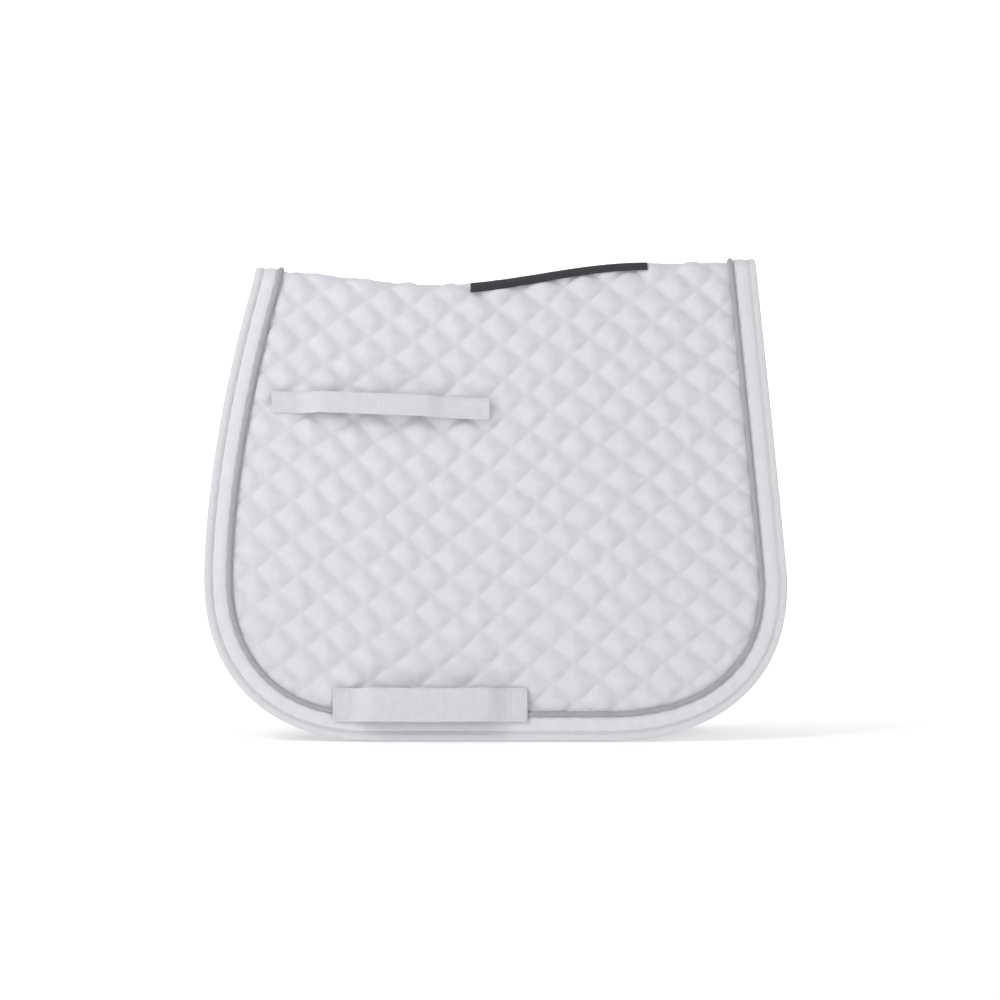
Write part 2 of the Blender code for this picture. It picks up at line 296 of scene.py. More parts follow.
def sweep(name, loops, finish, pattern):
    """A tube through matching loops of world points, with closed ends."""
    rows, count = len(loops), len(loops[0])
    points = np.concatenate(loops)
    i, j = np.meshgrid(np.arange(rows - 1), np.arange(count), indexing="ij")
    k = (j + 1) % count
    start, following = i * count, (i + 1) * count
    faces = np.stack([start + j, start + k, following + k, following + j], axis=-1).reshape(-1, 4)
    turned = orient(points, faces)
    first, last = list(range(count)), list(range((rows - 1) * count, rows * count))
    ends = [first[::-1], last] if turned is faces else [first, last[::-1]]
    return add_mesh(name, points, turned, finish, pattern, ends)


# ---- Quilting ----


def lattice(points):
    """Pattern points counted in diamonds along both seam directions."""
    return points @ np.linalg.inv(np.stack([SEAM_UP, SEAM_DOWN]))


def seam_distances(points):
    """How far each pattern point lies from the nearest seam of each direction."""
    area = abs(SEAM_UP[0] * SEAM_DOWN[1] - SEAM_UP[1] * SEAM_DOWN[0])
    counted = lattice(points)
    apart = np.abs(counted - np.round(counted))
    spacing = area / np.array([np.linalg.norm(SEAM_DOWN), np.linalg.norm(SEAM_UP)])
    return apart * spacing, spacing


def sewn(ideal):
    """Where the seams' points really lie: hand-guided rows wander by a millimetre or so."""
    x, across = ideal[:, 0], ideal[:, 1]
    along = 0.0011 * np.sin(38 * x + 21 * across + 0.4)
    along += 0.0006 * np.sin(97 * x - 61 * across)
    aside = 0.0010 * np.sin(31 * x - 27 * across + 1.9)
    aside += 0.0006 * np.sin(83 * x + 74 * across + 2.2)
    return ideal + np.stack([along, aside], axis=1)


def fullness(points):
    """How full each diamond is: its filling varies a little from one to the next."""
    column, row = np.floor(lattice(points) + 1e-6).T
    return 0.98 + 0.11 * np.sin(12.9 * column + 7.1 * row) * np.cos(3.7 * row - 1.3 * column)


def pillow(points):
    """From 0 on a seam to 1 in the middle of a diamond."""
    apart, spacing = seam_distances(points)
    share = np.clip(2.0 * apart / spacing, 0.0, 1.0)
    return (1.0 - (1.0 - share[:, 0]) ** 2.2) * (1.0 - (1.0 - share[:, 1]) ** 2.2)


def inside(points, polygon):
    """Which pattern points lie inside the polygon."""
    found = np.zeros(len(points), bool)
    ends = np.roll(polygon, -1, axis=0)
    for (ax, ay), (bx, by) in zip(polygon, ends):
        if ay == by:
            continue
        crosses = (ay > points[:, 1]) != (by > points[:, 1])
        at = ax + (points[:, 1] - ay) * (bx - ax) / (by - ay)
        found ^= crosses & (points[:, 0] < at)
    return found


def nearest_on(points, polygon):
    """The nearest place on the polygon to each point, and how far it is."""
    best = np.full(len(points), np.inf)
    place_there = np.zeros_like(points)
    for a, b in zip(polygon, np.roll(polygon, -1, axis=0)):
        step = b - a
        length = step @ step
        if length < 1e-14:
            continue
        share = np.clip((points - a) @ step / length, 0.0, 1.0)
        at = a + share[:, None] * step
        far = np.linalg.norm(points - at, axis=1)
        closer = far < best
        best[closer] = far[closer]
        place_there[closer] = at[closer]
    return place_there, best


def edge_counts(faces):
    """Each edge of four-sided faces once, and how many faces use it."""
    edges = np.concatenate([faces[:, [a, (a + 1) % 4]] for a in range(4)])
    return np.unique(np.sort(edges, axis=1), axis=0, return_counts=True)


def quilt_grid(side, inset, steps, short=0.0):
    """A sheet of the pattern along the seams: its points, faces, seams, rim and ideal points.

    It stops short of the ridge by the distance given.
    """
    polygon = inset_line(inset, side)
    polygon[:, 1] = side * np.maximum(side * polygon[:, 1], short)
    counted = lattice(polygon) * steps
    low = np.floor(counted.min(axis=0)).astype(int) - 1
    high = np.ceil(counted.max(axis=0)).astype(int) + 2
    i, j = np.meshgrid(np.arange(low[0], high[0]), np.arange(low[1], high[1]), indexing="ij")
    ideal = (i.reshape(-1, 1) * SEAM_UP + j.reshape(-1, 1) * SEAM_DOWN) / steps
    points = sewn(ideal)
    across = i.shape[1]
    corner = np.arange(i.size).reshape(i.shape)[:-1, :-1].ravel()
    faces = np.stack([corner, corner + across, corner + across + 1, corner + 1], axis=1)
    faces = faces[inside(points[faces].mean(axis=1), polygon)]
    used, faces = np.unique(faces, return_inverse=True)
    faces = faces.reshape(-1, 4)
    points = points[used]
    seam = (i.ravel()[used] % steps == 0) | (j.ravel()[used] % steps == 0)
    edges, uses = edge_counts(faces)
    rim = np.zeros(len(points), bool)
    rim[edges[uses == 1].ravel()] = True
    points[rim] = nearest_on(points[rim], polygon)[0]
    return points, faces, seam, rim, ideal[used]


def blown_up(points, faces, held, start, growth):
    """The height of a sewn sheet that its filling pushes out, by cloth simulation."""
    mesh = bpy.data.meshes.new("sewn_sheet")
    uneven = np.random.default_rng(SIM_SEED).normal(0.0, 0.0004, len(points)) * ~held
    flat = np.column_stack([points, start + uneven]) * SIM_SCALE
    mesh.from_pydata(flat.tolist(), [], faces.tolist())
    sheet = bpy.data.objects.new("sewn_sheet", mesh)
    bpy.context.scene.collection.objects.link(sheet)
    group = sheet.vertex_groups.new(name="held")
    group.add(np.flatnonzero(held).tolist(), 1.0, "REPLACE")
    cloth = sheet.modifiers.new("cloth", "CLOTH")
    made = cloth.settings
    made.quality = 4
    made.mass = 0.03
    made.bending_stiffness = 0.5
    made.vertex_group_mass = "held"
    made.use_pressure = True
    made.uniform_pressure_force = 4.0
    made.shrink_min = -growth
    made.effector_weights.gravity = 0.0
    cloth.collision_settings.use_collision = False
    scene = bpy.context.scene
    cloth.point_cache.frame_start = 1
    cloth.point_cache.frame_end = SIM_FRAMES
    for number in range(1, SIM_FRAMES + 1):
        scene.frame_set(number)
    seen = sheet.evaluated_get(bpy.context.evaluated_depsgraph_get()).to_mesh()
    result = np.zeros(len(points) * 3, np.float32)
    seen.vertices.foreach_get("co", result)
    bpy.data.objects.remove(sheet)
    scene.frame_set(1)
    return np.abs(result.reshape(-1, 3)[:, 2].astype(float)) / SIM_SCALE


def smooth_heights(heights, faces, held):
    """The heights halfway to the mean of their neighbours, except where the sheet is held."""
    edges = edge_counts(faces)[0]
    count = np.bincount(edges.ravel(), minlength=len(heights))
    total = np.bincount(edges[:, 0], heights[edges[:, 1]], len(heights))
    total += np.bincount(edges[:, 1], heights[edges[:, 0]], len(heights))
    return np.where(held, heights, 0.5 * heights + 0.5 * total / count)


PRESSED = []


def press(x_range, across_range, out):
    """Records a place where something sewn on keeps the cover down."""
    PRESSED.append((x_range, sorted(across_range), out))


def pressed(points, out):
    """The cover's out, kept below what is sewn on it."""
    margin = 0.004
    for *ranges, limit in PRESSED:
        share = 1.0
        for k, (low, high) in enumerate(ranges):
            share = share * ease((points[:, k] - low) / margin + 1)
            share = share * ease((high - points[:, k]) / margin + 1)
        out = out - share * np.maximum(out - limit, 0.0)
    return out


def cover_out(points, height):
    """Where a cover that is puffed up by height lies."""
    return pressed(points, COVER_SEAM_OUT + height)


def make_cover(side, finish):
    """One half of the quilted outer cloth, puffed up by its filling, and where it then lies."""
    name = f"{SIDE_NAMES[side]}_cover_cloth"
    points, faces, seam, rim, ideal = quilt_grid(side, COVER_EDGE, COVER_STEPS)
    held = seam | rim
    border = nearest_on(points, inset_line(COVER_EDGE, side))[1]
    height = COVER_PUFF * pillow(ideal) * ease(border / 0.010)
    moved = blown_up(points, faces, held, 0.3 * height, COVER_GROWTH)
    height = smooth_heights(np.minimum(moved, MOST_PUFF * COVER_PUFF), faces, held)
    height = height * fullness(ideal)
    out = cover_out(points, height)
    world = place(points[:, 0], points[:, 1], out)
    outward = np.array([0.0, side * COS, SIN])
    made = add_mesh(name, world, orient(world, faces, outward), finish, points)
    return made, np.column_stack([points, out])


def make_lining(side, finish):
    """One half of the lining: shallow diamonds inside the piping, and a plain strip around them."""
    name = f"{SIDE_NAMES[side]}_lining_cloth"
    points, faces, seam, rim, ideal = quilt_grid(side, LINING_EDGE, LINING_STEPS)
    inset = nearest_on(points, OUTLINE * np.array([1.0, -side]))[1]
    quilted = inset > PIPING_MIDDLE
    held = rim | (seam & quilted) | (np.abs(inset - PIPING_MIDDLE) < PIPING_SEAM)
    strip = np.sin(np.pi * np.clip((inset - LINING_EDGE) / (PIPING_MIDDLE - LINING_EDGE), 0.0, 1.0))
    inner = pillow(ideal) * ease((inset - PIPING_MIDDLE) / 0.010)
    height = LINING_PUFF * np.where(quilted, inner, 0.8 * strip) * ~held
    moved = blown_up(points, faces, held, 0.4 * height, LINING_GROWTH)
    height = smooth_heights(np.minimum(moved, MOST_PUFF * LINING_PUFF), faces, held)
    tucked = LINING_SEAM_OUT - 0.0020
    out = LINING_SEAM_OUT - height * np.where(quilted, fullness(ideal), 1.0)
    out = tucked + (out - tucked) * ease((inset - LINING_EDGE) / 0.005)
    world = place(points[:, 0], points[:, 1], out)
    outward = np.array([0.0, -side * COS, -SIN])
    made = add_mesh(name, world, orient(world, faces, outward), finish, points)
    layer = made.modifiers.new("finer", "SUBSURF")
    layer.levels = 1
    layer.render_levels = 1
    return made


def lowest_near(points, surface, count):
    """The lowest out among the surface's points that are nearest to each pattern point."""
    tree = KDTree(len(surface))
    for number, (x, across, _) in enumerate(surface):
        tree.insert((x, across, 0.0), number)
    tree.balance()
    lowest = []
    for x, across in points:
        found = tree.find_n((x, across, 0.0), count)
        lowest.append(min(surface[number][2] for _, number, _ in found))
    return np.array(lowest)


def make_batting(side, cover_surface, finish):
    """The filling, a closed pad pinched along the same seams. The ridge folds, and has none."""
    name = f"{SIDE_NAMES[side]}_filling"
    inset = COVER_EDGE + 0.001
    points, faces, _, _, ideal = quilt_grid(side, inset, BATTING_STEPS, FILLING_SHORT)
    border = nearest_on(points, inset_line(COVER_EDGE, side))[1]
    sunk = 0.0007 + 0.0038 * (1.0 - ease((np.abs(points[:, 1]) - 0.022) / 0.020))
    upper = np.maximum(lowest_near(points, cover_surface, 7) - sunk, LINING_SEAM_OUT + 0.0014)
    lower = LINING_SEAM_OUT + 0.0008 - 0.6 * LINING_PUFF * pillow(ideal) * ease(border / 0.012)
    lower = np.minimum(lower, upper - 0.0006)
    top = place(points[:, 0], points[:, 1], upper)
    bottom = place(points[:, 0], points[:, 1], lower)
    count = len(points)
    directed = np.concatenate([faces[:, [a, (a + 1) % 4]] for a in range(4)])
    _, first, uses = np.unique(
        np.sort(directed, axis=1), axis=0, return_index=True, return_counts=True
    )
    rim_edges = directed[first[uses == 1]]
    a, b = rim_edges.T
    walls = np.stack([b, a, a + count, b + count], axis=1)
    every = np.concatenate([faces, faces[:, ::-1] + count, walls])
    world = np.concatenate([top, bottom])
    return add_mesh(name, world, orient(world, every), finish, np.concatenate([points, points]))


# ---- Border ----


def border_piece(name, side, section, finish, ripple=0.0):
    """A closed (inset, out) section carried along one half's border, from ridge to ridge."""
    count = len(OUTLINE)
    section = np.array(section)
    lengths = np.concatenate([[0.0], np.cumsum(np.linalg.norm(np.diff(section, axis=0), axis=1))])
    along = np.arange(count) * OUTLINE_STEP
    loops, pattern = [], []
    lines = [inset_line(inset, side) for inset in section[:, 0]]
    for i in range(count):
        flat = np.array([line[i] for line in lines])
        wave = ripple * math.sin(along[i] / 0.0029 + 2.0 * math.sin(along[i] / 0.017))
        loops.append(place(flat[:, 0], flat[:, 1], section[:, 1] + wave))
        pattern.append(np.column_stack([np.full(len(section), along[i]), lengths]))
    return sweep(name, loops, finish, np.concatenate(pattern))


def binding_section():
    """Tape folded round the edge: its outer surface there and its inner surface back."""
    fold, thickness, face_out, back_out = 0.0015, 0.0010, 0.0046, -0.0060
    turn = np.linspace(0.2, np.pi - 0.2, 7)
    run = np.linspace(BINDING_WIDTH, fold, 10)
    inset = np.concatenate([run, fold - fold * np.sin(turn), run[::-1]])
    stitch = np.exp(-(((inset - BINDING_STITCH) / 0.0012) ** 2))
    crown = 0.0005 * np.sin(np.pi * np.clip(inset / BINDING_WIDTH, 0, 1))
    face = face_out + crown - 0.0008 * stitch
    back = back_out + 0.0006 * stitch
    edge = (face_out + back_out) / 2 + (face_out - back_out) / 2 * np.cos(turn)
    rise = np.concatenate([face[: len(run)], edge, back[-len(run) :]])
    outer = np.column_stack([inset, rise])
    shift = np.gradient(outer, axis=0)
    shift /= np.linalg.norm(shift, axis=1)[:, None]
    inner = outer + thickness * np.column_stack([-shift[:, 1], shift[:, 0]])
    return np.concatenate([outer, inner[::-1]])


def band_section():
    """The padded strip between binding and piping."""
    start, stop, tucked = 0.0085, PIPING_MIDDLE - 0.0018, 0.0030
    share = np.linspace(0.0, 1.0, 16)
    top = 0.0028 + 0.0021 * (4 * share * (1 - share)) ** 0.6
    upper = np.column_stack([np.linspace(start, stop, 16), top])
    lower = [(stop, -0.0020), (0.0210, -0.0036), (0.0150, -0.0036), (tucked, -0.0030)]
    return np.concatenate([[(tucked, 0.0026)], upper, lower])


def piping_section():
    """A round cord."""
    turn = np.linspace(0.0, 2 * np.pi, 16, endpoint=False)
    return np.column_stack([
        PIPING_MIDDLE + PIPING_RADIUS * np.cos(turn),
        PIPING_OUT + PIPING_RADIUS * np.sin(turn),
    ])


# ---- Straps ----


def ribbon_section(width, thickness):
    """(down, out) points round a flat woven strap with rounded selvedges."""
    half, thin = width / 2, thickness / 2
    flat = np.linspace(-half + thin, half - thin, 12)
    crown = 0.12 * thickness * np.cos(np.pi * flat / width)
    turn = np.linspace(-np.pi / 2, np.pi / 2, 5)[1:-1]
    right = np.column_stack([half - thin + thin * np.cos(turn), thin * np.sin(turn[::-1])])
    left = np.column_stack([-half + thin - thin * np.cos(turn), thin * np.sin(turn)])
    upper = np.column_stack([flat, thin + crown])
    lower = np.column_stack([flat[::-1], -thin + crown[::-1]])
    return np.concatenate([upper, right, lower, left])


def ribbon(name, side, line, middle_down, width, finish, thickness=WEB_THICKNESS, bow=0.0):
    """A strap whose middle follows (x, out) points, with rounded ends."""
    line = even_steps(np.array(line), STRAP_STEP)
    section = ribbon_section(width, thickness)
    slope = np.gradient(line, axis=0)
    slope /= np.linalg.norm(slope, axis=1)[:, None]
    length = len(line) - 1
    loops, pattern = [], []
    for i, (x, out) in enumerate(line):
        near_end = min(i, length - i) * STRAP_STEP
        pinch = 1.0 - 0.06 * math.exp(-near_end / 0.0015)
        xs = x - slope[i, 1] * section[:, 1]
        outs = out + slope[i, 0] * section[:, 1] * (0.6 if near_end == 0 else 1.0)
        downs = middle_down(x) + section[:, 0] * pinch + bow * math.sin(math.pi * i / length)
        loops.append(place(xs, across_at(xs, downs, side), outs))
        pattern.append(np.column_stack([np.full(len(section), i * STRAP_STEP), section[:, 0]]))
    return sweep(name, loops, finish, np.concatenate(pattern))


def slack(x_from, x_to, out_from, out_to):
    """(x, out) points of a strap that rises or falls smoothly."""
    xs = np.linspace(x_from, x_to, 14)
    outs = out_from + (out_to - out_from) * ease((xs - x_from) / (x_to - x_from))
    return list(zip(xs, outs))


BILLET_HEIGHT, BILLET_WIDTH = 0.376, 0.025
BILLET_START_X, BILLET_HINGE_X, BILLET_END_X = -0.256, -0.226, -0.006
BILLET_RAMP, BILLET_RAISED, PATCH_LENGTH = 0.030, 0.0170, 0.048
BILLET_DROOP = 0.036
SEWN_OUT, LOOP_OUT, HOOK_OUT, CLOSED_OUT = 0.0070, 0.0066, 0.0084, 0.0101
GIRTH_HEIGHT, GIRTH_WIDTH = 0.0395, 0.038
GIRTH_START_X, GIRTH_END_X = -0.182, 0.036
GIRTH_TAB, GIRTH_RAMP, GIRTH_RAISED = 0.020, 0.028, 0.0185
GIRTH_SEWN_OUT = 0.0074


def billet_down(x):
    """The billet keeper droops a little towards its free end."""
    return down_at(BILLET_HEIGHT) + BILLET_DROOP * (x - (BILLET_START_X + BILLET_END_X) / 2)


def girth_down(_):
    """The girth keeper is level."""
    return down_at(GIRTH_HEIGHT)


def billet_line():
    web = WEB_THICKNESS / 2
    closed_x = BILLET_END_X - PATCH_LENGTH
    line = [(BILLET_START_X, SEWN_OUT), (BILLET_HINGE_X - 0.002, SEWN_OUT)]
    line += slack(BILLET_HINGE_X, BILLET_HINGE_X + BILLET_RAMP, SEWN_OUT, BILLET_RAISED + web)
    line += slack(closed_x - BILLET_RAMP, closed_x, BILLET_RAISED + web, CLOSED_OUT)
    return line + [(BILLET_END_X, CLOSED_OUT)]


def girth_line():
    web = WEB_THICKNESS / 2
    rise_x, fall_x = GIRTH_START_X + GIRTH_TAB, GIRTH_END_X - GIRTH_TAB
    line = [(GIRTH_START_X, GIRTH_SEWN_OUT)]
    line += slack(rise_x, rise_x + GIRTH_RAMP, GIRTH_SEWN_OUT, GIRTH_RAISED + web)
    line += slack(fall_x - GIRTH_RAMP, fall_x, GIRTH_RAISED + web, GIRTH_SEWN_OUT)
    return line + [(GIRTH_END_X, GIRTH_SEWN_OUT)]


def patch(name, side, x_range, out, finish):
    """A sewn piece of hook or loop tape."""
    line = [(x_range[0], out), (x_range[1], out)]
    width = BILLET_WIDTH - 0.001
    return ribbon(name, side, line, billet_down, width, finish, thickness=TAPE_THICKNESS)


# ---- Label ----

LABEL_X = (-0.029, 0.175)
LABEL_ANGLES = (math.radians(-75.0), math.radians(-42.0))
LABEL_OUT = 0.0064
LABEL_THICKNESS = 0.0012


def label(finish):
    """A plain dark ribbon sewn along the near side of the ridge."""
    xs = np.linspace(*LABEL_X, 60)
    share = np.linspace(0.0, 1.0, 9)
    thin = LABEL_THICKNESS / 2
    loops, pattern = [], []
    for i, x in enumerate(xs):
        radius = float(arch_radius(x))
        angles = LABEL_ANGLES[0] + (LABEL_ANGLES[1] - LABEL_ANGLES[0]) * share
        crown = 0.0002 * np.sin(np.pi * share)
        end = 0.5 if i in (0, len(xs) - 1) else 1.0
        upper = place(x, angles * radius, LABEL_OUT + thin * end + crown)
        lower = place(x, angles[::-1] * radius, LABEL_OUT - thin * end)
        loops.append(np.concatenate([upper, lower]))
        down = np.concatenate([angles, angles[::-1]]) * radius
        pattern.append(np.column_stack([np.full(len(down), x), down]))
    return sweep("label_ribbon", loops, finish, np.concatenate(pattern))


# ---- Stitching ----


def stitches(name, centres, along, upward, finish, length=0.0031, radius=THREAD_RADIUS):
    """Short rounded threads, each lying on the cloth along its seam."""
    count = len(centres)
    along = along / np.linalg.norm(along, axis=1)[:, None]
    upward = upward - (upward * along).sum(axis=1)[:, None] * along
    upward = upward / np.linalg.norm(upward, axis=1)[:, None]
    aside = np.cross(along, upward)
    stations = [(-0.5, 0.35, -0.9), (-0.30, 1.0, 0.0), (0.30, 1.0, 0.0), (0.5, 0.35, -0.9)]
    sides = 4
    turns = np.arange(sides) * 2 * np.pi / sides + np.pi / 4
    points = []
    for at, wide, lift in stations:
        for turn in turns:
            offset = along * (at * length) + upward * (radius * (lift + wide * math.sin(turn)))
            points.append(centres + offset + aside * (radius * wide * math.cos(turn)))
    points = np.stack(points, axis=1).reshape(-1, 3)
    rings = len(stations)
    faces = []
    for ring in range(rings - 1):
        for k in range(sides):
            after = (k + 1) % sides
            a, b = ring * sides, (ring + 1) * sides
            faces.append([a + k, a + after, b + after, b + k])
    last = (rings - 1) * sides
    faces.append([3, 2, 1, 0])
    faces.append([last, last + 1, last + 2, last + 3])
    per = rings * sides
    every = (np.arange(count)[:, None, None] * per + np.array(faces)[None]).reshape(-1, 4)
    first = orient(points[:per] - centres[0], np.array(faces))
    if (first != np.array(faces)).any():
        every = every[:, ::-1]
    return add_mesh(name, points, every, finish)


def stitch_line(flat, out, pitch=0.0038):
    """Centres, directions and upward directions of stitches along a pattern line."""
    flat = np.asarray(flat, float)
    line = np.column_stack([flat, np.broadcast_to(out, len(flat))])
    line = even_steps(line, pitch)
    if len(line) < 3:
        return None
    world = place(line[:, 0], line[:, 1], line[:, 2])
    raised = place(line[:, 0], line[:, 1], line[:, 2] + 0.001)
    middle = (world[1:] + world[:-1]) / 2
    return middle, world[1:] - world[:-1], ((raised - world)[1:] + (raised - world)[:-1]) / 2


def gathered(runs):
    """Several runs of stitches as one."""
    runs = [r for r in runs if r is not None]
    return [np.concatenate([r[k] for r in runs]) for k in range(3)]


def quilt_seams(side):
    """Pattern lines of both seam directions, clipped inside the piping."""
    polygon = inset_line(PIPING_MIDDLE + 0.0035, side)
    counted = lattice(polygon)
    lines = []
    for axis, other in ((0, 1), (1, 0)):
        low, high = counted[:, axis].min(), counted[:, axis].max()
        for number in range(math.ceil(low), math.floor(high) + 1):
            ends = counted[:, other].min() - 0.1, counted[:, other].max() + 0.1
            share = np.arange(*ends, 0.02)
            both = np.zeros((len(share), 2))
            both[:, axis] = number
            both[:, other] = share
            flat = sewn(both @ np.stack([SEAM_UP, SEAM_DOWN]))
            kept = inside(flat, polygon)
            starts = np.flatnonzero(np.diff(np.concatenate([[0], kept.astype(int), [0]])))
            for begin, stop in zip(starts[::2], starts[1::2]):
                if stop - begin > 12:
                    lines.append(flat[begin:stop])
    return lines


def quilt_stitching(side, finish):
    """The cover's rows of stitches, sunk in its seams."""
    runs = []
    for flat in quilt_seams(side):
        out = cover_out(flat, np.zeros(len(flat))) + 0.0001
        runs.append(stitch_line(flat, out))
    return stitches(f"{SIDE_NAMES[side]}_quilt_stitching", *gathered(runs), finish)


def lining_stitching(side, finish):
    """The same rows on the lining's face."""
    runs = [stitch_line(flat, LINING_SEAM_OUT - 0.0002) for flat in quilt_seams(side)]
    centres, along, upward = gathered(runs)
    return stitches(f"{SIDE_NAMES[side]}_lining_stitching", centres, along, -upward, finish)


def edge_stitching(side, finish):
    """Two rows on the border, through the binding and beside the piping, and the binding's row
    again on the back.
    """
    rows = [(BINDING_STITCH, 0.0044), (PIPING_MIDDLE - 0.0046, 0.0042)]
    runs = [stitch_line(inset_line(inset, side)[1:-1], out + 0.0002, 0.0034) for inset, out in rows]
    back = stitch_line(inset_line(BINDING_STITCH, side)[1:-1], -0.0056, 0.0034)
    runs.append((back[0], back[1], -back[2]))
    return stitches(f"{SIDE_NAMES[side]}_edge_stitching", *gathered(runs), finish, length=0.0028)


def box_lines(x_range, down_range):
    """A rectangle of stitching with a cross in it."""
    (a, b), (c, d) = x_range, down_range
    corners = [(a, c), (b, c), (b, d), (a, d)]
    lines = [np.array([corners[k], corners[(k + 1) % 4]]) for k in range(4)]
    return lines + [np.array([(a, c), (b, d)]), np.array([(a, d), (b, c)])]


def strap_stitching(name, side, boxes, finish):
    """Boxes of stitches that hold the straps down."""
    runs = []
    for x_range, middle_down, width, out, crossed in boxes:
        half = width / 2 - 0.003
        lines = box_lines(x_range, (-half, half))
        for line in lines if crossed else lines[:4]:
            line = even_steps(line, 0.004)
            downs = middle_down(line[:, 0]) + line[:, 1]
            flat = np.column_stack([line[:, 0], across_at(line[:, 0], downs, side)])
            runs.append(stitch_line(flat, out, 0.0026))
    return stitches(name, *gathered(runs), finish, length=0.0021, radius=0.00028)


def label_stitching(finish):
    """A row of stitches along each long edge of the label."""
    xs = np.linspace(LABEL_X[0] + 0.003, LABEL_X[1] - 0.003, 60)
    margin = math.radians(4.0)
    runs = []
    for angle in (LABEL_ANGLES[0] + margin, LABEL_ANGLES[1] - margin):
        flat = np.column_stack([xs, angle * arch_radius(xs)])
        runs.append(stitch_line(flat, LABEL_OUT + 0.0008, 0.0026))
    return stitches("label_stitching", *gathered(runs), finish, length=0.0021, radius=0.00022)


# ---- Materials ----


def new_material(name, colour, roughness, sheen=0.0):
    """A new material with its node tree and shader."""
    made = bpy.data.materials.new(name)
    made.use_nodes = True
    shader = made.node_tree.nodes["Principled BSDF"]
    shader.inputs["Base Color"].default_value = (*colour, 1.0)
    shader.inputs["Roughness"].default_value = roughness
    shader.inputs["Specular IOR Level"].default_value = 0.25
    shader.inputs["Sheen Weight"].default_value = sheen
    shader.inputs["Sheen Roughness"].default_value = 0.5
    return made, made.node_tree, shader


def add_node(tree, kind, **values):
    made = tree.nodes.new(kind)
    for key, value in values.items():
        setattr(made, key, value)
    return made


def pattern_coordinates(tree):
    return add_node(tree, "ShaderNodeUVMap", uv_map="pattern").outputs["UV"]


def wave(tree, vector, direction, scale):
    made = add_node(tree, "ShaderNodeTexWave", bands_direction=direction)
    made.inputs["Scale"].default_value = scale
    made.inputs["Distortion"].default_value = 0.6
    made.inputs["Detail"].default_value = 1.0
    tree.links.new(vector, made.inputs["Vector"])
    return made.outputs["Fac"]


def noise(tree, vector, scale, detail=3.0):
    made = add_node(tree, "ShaderNodeTexNoise")
    made.inputs["Scale"].default_value = scale
    made.inputs["Detail"].default_value = detail
    tree.links.new(vector, made.inputs["Vector"])
    return made.outputs["Fac"]


def combine(tree, operation, first, second):
    made = add_node(tree, "ShaderNodeMath", operation=operation)
    for socket, value in zip(made.inputs, (first, second)):
        if isinstance(value, float):
            socket.default_value = value
        else:
            tree.links.new(value, socket)
    return made.outputs["Value"]


def weighted_sum(tree, *terms):
    return combine(tree, "ADD", *(combine(tree, "MULTIPLY", *term) for term in terms))


def bump(tree, height, distance, under=None, strength=1.0):
    made = add_node(tree, "ShaderNodeBump")
    made.inputs["Distance"].default_value = distance
    made.inputs["Strength"].default_value = strength
    tree.links.new(height, made.inputs["Height"])
    if under is not None:
        tree.links.new(under, made.inputs["Normal"])
    return made.outputs["Normal"]


def tinted(tree, shader, factor, low, high):
    """Colour that varies with factor between two colours."""
    ramp = add_node(tree, "ShaderNodeValToRGB")
    ramp.color_ramp.elements[0].position = 0.3
    ramp.color_ramp.elements[1].position = 0.7
    ramp.color_ramp.elements[0].color = (*low, 1.0)
    ramp.color_ramp.elements[1].color = (*high, 1.0)
    tree.links.new(factor, ramp.inputs["Fac"])
    tree.links.new(ramp.outputs["Color"], shader.inputs["Base Color"])


def varied_roughness(tree, shader, factor, low, high):
    span = add_node(tree, "ShaderNodeMapRange")
    span.inputs["To Min"].default_value = low
    span.inputs["To Max"].default_value = high
    tree.links.new(factor, span.inputs["Value"])
    tree.links.new(span.outputs["Result"], shader.inputs["Roughness"])


def wave_scale(period):
    """The Wave Texture's scale for a period in metres on the pattern's coordinates."""
    return 0.1 / period / 3.2


def cloth_material(name, light, dark, roughness, thread, depth, crumple, sheen):
    """Woven cloth: thread is the weave's period in metres, depth and crumple its relief."""
    made, tree, shader = new_material(name, light, roughness, sheen)
    vector = pattern_coordinates(tree)
    scale = wave_scale(thread)
    weave = combine(tree, "MULTIPLY", *(wave(tree, vector, axis, scale) for axis in "XY"))
    twill = wave(tree, vector, "DIAGONAL", scale * 0.7)
    height = combine(tree, "ADD", weave, combine(tree, "MULTIPLY", twill, 0.5))
    creases = noise(tree, vector, 14.0, 5.0)
    mottled = noise(tree, vector, 5.0, 4.0)
    mixed = weighted_sum(tree, (mottled, 0.8), (weave, 0.2))
    tinted(tree, shader, mixed, dark, light)
    varied_roughness(tree, shader, mottled, roughness - 0.06, min(1.0, roughness + 0.06))
    normal = bump(tree, creases, crumple)
    normal = bump(tree, height, depth, normal, 0.8)
    tree.links.new(normal, shader.inputs["Normal"])
    return made


def webbing_material(name, light, dark, rib):
    """Webbing: ribs across its width, and finer lines along it."""
    made, tree, shader = new_material(name, light, 0.75, 0.2)
    vector = pattern_coordinates(tree)
    ribs = wave(tree, vector, "X", wave_scale(rib))
    lines = wave(tree, vector, "Y", wave_scale(rib * 2.2 / 3.2))
    weave = combine(tree, "MULTIPLY", ribs, combine(tree, "ADD", lines, 0.4))
    mottled = noise(tree, vector, 9.0)
    mixed = weighted_sum(tree, (weave, 0.45), (mottled, 0.5))
    tinted(tree, shader, mixed, dark, light)
    varied_roughness(tree, shader, mottled, 0.68, 0.82)
    tree.links.new(bump(tree, weave, 0.00035), shader.inputs["Normal"])
    return made


